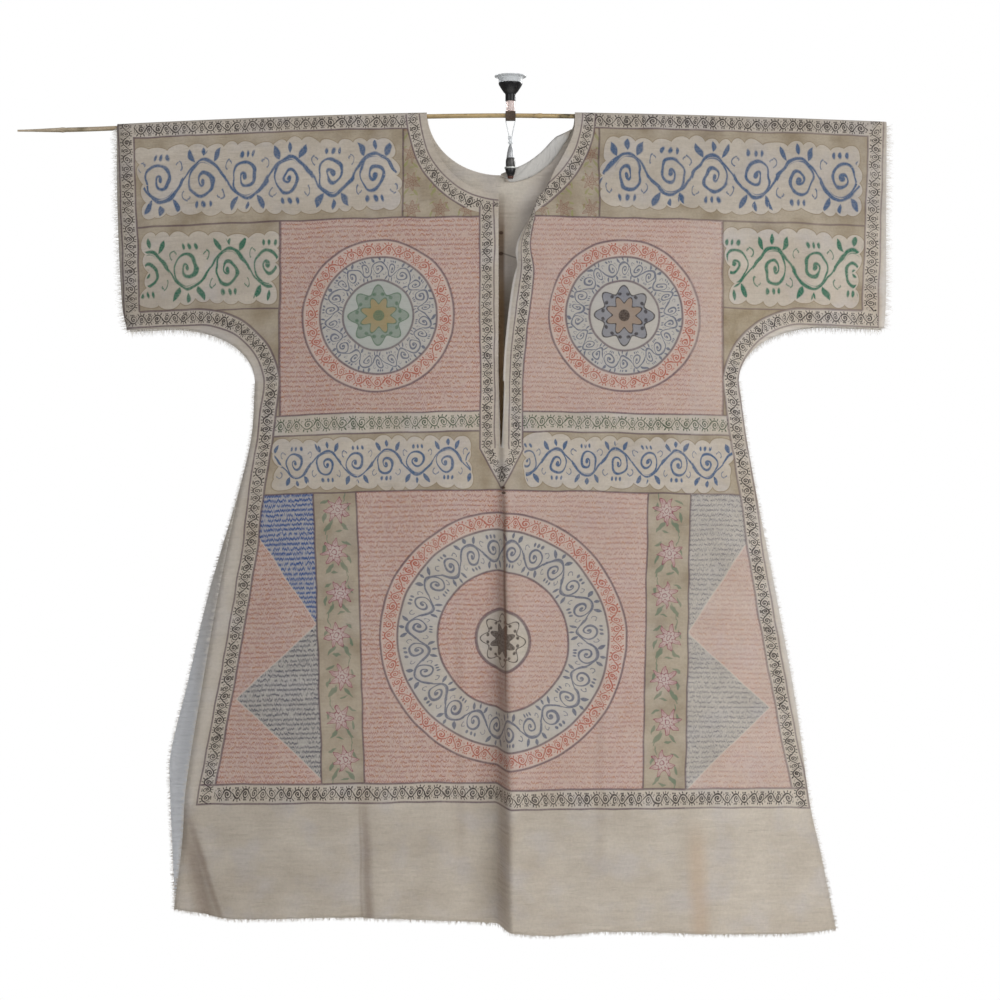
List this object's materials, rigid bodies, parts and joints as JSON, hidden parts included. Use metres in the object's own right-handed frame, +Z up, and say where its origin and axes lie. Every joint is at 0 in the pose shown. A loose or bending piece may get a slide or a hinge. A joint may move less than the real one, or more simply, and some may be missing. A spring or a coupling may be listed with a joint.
{
  "type": "talismanic shirt on a hanging rod",
  "caption": "Wide T-shaped cotton shirt drawn over with ruled panels and roundels, open at a round neck and slit, hung flat on a thin bamboo rod.",
  "frame": {"origin": "middle of the hanging fitting's top face, above the neck", "axes": "+X to the right as seen from the front, +Y away from the front, +Z up; the shirt's front faces -Y"},
  "size_m": [1.0507, 0.0923, 1.0329],
  "materials": {
    "cotton_front": "plain-woven unbleached cotton, drawn over in ink and colour",
    "cotton_back": "plain-woven unbleached cotton",
    "raw_edge": "frayed cotton threads",
    "bamboo": "smooth, with darker nodes",
    "clear_plastic": "clear, glossy",
    "black_plastic": "glossy black",
    "brown_plastic": "dull brown",
    "steel": "turned metal"
  },
  "bodies": {
    "root": {"front_panel": "cotton_front", "back_panel": "cotton_back", "fringe_sleeve_left_front": "raw_edge", "fringe_underarm_left_front": "raw_edge", "fringe_sleeve_right_front": "raw_edge", "fringe_underarm_right_front": "raw_edge", "fringe_hem_front": "raw_edge", "fringe_sleeve_left_back": "raw_edge", "fringe_underarm_left_back": "raw_edge", "fringe_sleeve_right_back": "raw_edge", "fringe_underarm_right_back": "raw_edge", "fringe_hem_back": "raw_edge", "rod": "bamboo", "hanger_disc": "clear_plastic", "hanger_cone": "black_plastic", "hanger_stem": "clear_plastic", "rod_clip": "brown_plastic", "line_yoke": "clear_plastic", "plumb_top": "steel", "plumb_body": "black_plastic", "plumb_ring": "steel", "plumb_point": "black_plastic", "plumb_tip": "brown_plastic"}
  },
  "joints": []
}
